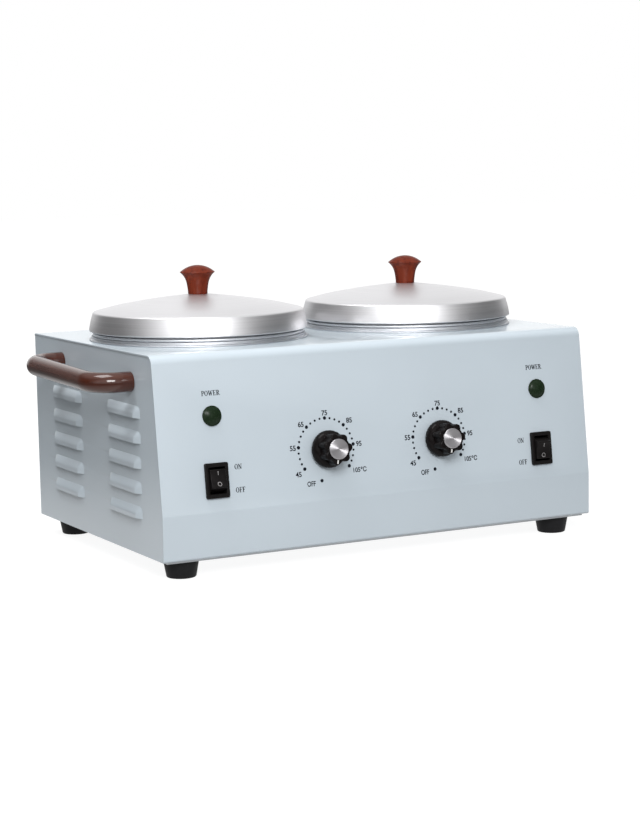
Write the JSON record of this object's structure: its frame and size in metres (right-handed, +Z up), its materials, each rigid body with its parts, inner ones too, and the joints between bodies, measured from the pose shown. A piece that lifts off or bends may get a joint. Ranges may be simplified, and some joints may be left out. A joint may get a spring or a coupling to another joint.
{
  "type": "double wax warmer",
  "caption": "Low sheet-metal housing with two heated wells side by side, each with a lift-out pot, knobbed lid, rocker switch, pilot lamp and temperature dial.",
  "frame": {"origin": "on the table, under the middle of the whole object's bounding box", "axes": "+X to the right as seen from the front, along the longest side; the control panel faces -Y; +Z up"},
  "size_m": [0.3576, 0.2176, 0.179],
  "materials": {
    "housing_paint": "smooth pale blue-grey enamel, glossy",
    "base_steel": "plain plated sheet",
    "foot_rubber": "matt black",
    "screw_steel": "zinc plated",
    "lacquered_wood": "reddish-brown clear lacquer, glossy",
    "spun_aluminium": "satin, with fine spinning lines",
    "drawn_aluminium": "satin",
    "heater_steel": "heat-tinted",
    "felt": "matt fibre",
    "pale_plastic": "matt cream",
    "copper": "bare copper",
    "black_plastic": "satin black",
    "lamp_lens": "dark green lens, glossy",
    "cap_aluminium": "spun, bright"
  },
  "bodies": {
    "housing": {"cover": "housing_paint", "left_side_panel": "housing_paint", "right_side_panel": "housing_paint", "back_panel": "housing_paint", "base_plate": "base_steel", "front_left_foot": "foot_rubber", "front_right_foot": "foot_rubber", "back_left_foot": "foot_rubber", "back_right_foot": "foot_rubber", "foot_fasteners": "screw_steel", "panel_screws": "screw_steel", "left_handle": "lacquered_wood", "right_handle": "lacquered_wood", "handle_screws": "screw_steel", "left_collar": "spun_aluminium", "right_collar": "spun_aluminium", "left_well": "drawn_aluminium", "right_well": "drawn_aluminium", "left_heater_band": "heater_steel", "right_heater_band": "heater_steel", "heater_clamp_screws": "screw_steel", "left_insulation": "felt", "right_insulation": "felt", "left_thermal_cutout": "pale_plastic", "right_thermal_cutout": "pale_plastic", "temperature_sensors": "copper", "left_well_post": "screw_steel", "right_well_post": "screw_steel", "well_post_screws": "screw_steel", "left_switch_housing": "black_plastic", "right_switch_housing": "black_plastic", "left_pilot_lamp": "lamp_lens", "right_pilot_lamp": "lamp_lens", "lamp_clips": "screw_steel", "left_temperature_control": "black_plastic", "right_temperature_control": "black_plastic", "control_nuts": "screw_steel", "power_inlet": "black_plastic", "inlet_screws": "screw_steel", "capillary_tubes": "copper", "terminal_block": "pale_plastic", "terminal_block_screws": "screw_steel"},
    "left_pot": {"left_pot": "drawn_aluminium"},
    "left_lid": {"left_lid": "spun_aluminium", "left_lid_knob": "lacquered_wood", "left_lid_screw": "screw_steel"},
    "left_knob": {"left_knob": "black_plastic", "left_knob_cap": "cap_aluminium", "left_control_shaft": "screw_steel"},
    "left_rocker": {"left_rocker": "black_plastic"},
    "right_pot": {"right_pot": "drawn_aluminium"},
    "right_lid": {"right_lid": "spun_aluminium", "right_lid_knob": "lacquered_wood", "right_lid_screw": "screw_steel"},
    "right_knob": {"right_knob": "black_plastic", "right_knob_cap": "cap_aluminium", "right_control_shaft": "screw_steel"},
    "right_rocker": {"right_rocker": "black_plastic"}
  },
  "joints": [
    {"name": "left_pot_lift", "type": "slide", "parent": "housing", "child": "left_pot", "axis": [0, 0, 1], "range_m": [0, 0.13]},
    {"name": "left_lid_lift", "type": "slide", "parent": "left_pot", "child": "left_lid", "axis": [0, 0, 1], "range_m": [0, 0.08]},
    {"name": "left_knob_turn", "type": "hinge", "parent": "housing", "child": "left_knob", "pos_m": [-0.04, -0.09172, 0.07018], "axis": [0, 0.9929, -0.1186], "range_deg": [0, 296]},
    {"name": "left_rocker_tip", "type": "hinge", "parent": "housing", "child": "left_rocker", "pos_m": [-0.1148, -0.09139, 0.05775], "axis": [1, 0, 0], "range_deg": [0, 24]},
    {"name": "right_pot_lift", "type": "slide", "parent": "housing", "child": "right_pot", "axis": [0, 0, 1], "range_m": [0, 0.13]},
    {"name": "right_lid_lift", "type": "slide", "parent": "right_pot", "child": "right_lid", "axis": [0, 0, 1], "range_m": [0, 0.08]},
    {"name": "right_knob_turn", "type": "hinge", "parent": "housing", "child": "right_knob", "pos_m": [0.04, -0.09172, 0.07018], "axis": [0, 0.9929, -0.1186], "range_deg": [0, 296]},
    {"name": "right_rocker_tip", "type": "hinge", "parent": "housing", "child": "right_rocker", "pos_m": [0.1148, -0.09139, 0.05775], "axis": [1, 0, 0], "range_deg": [-24, 0]}
  ]
}
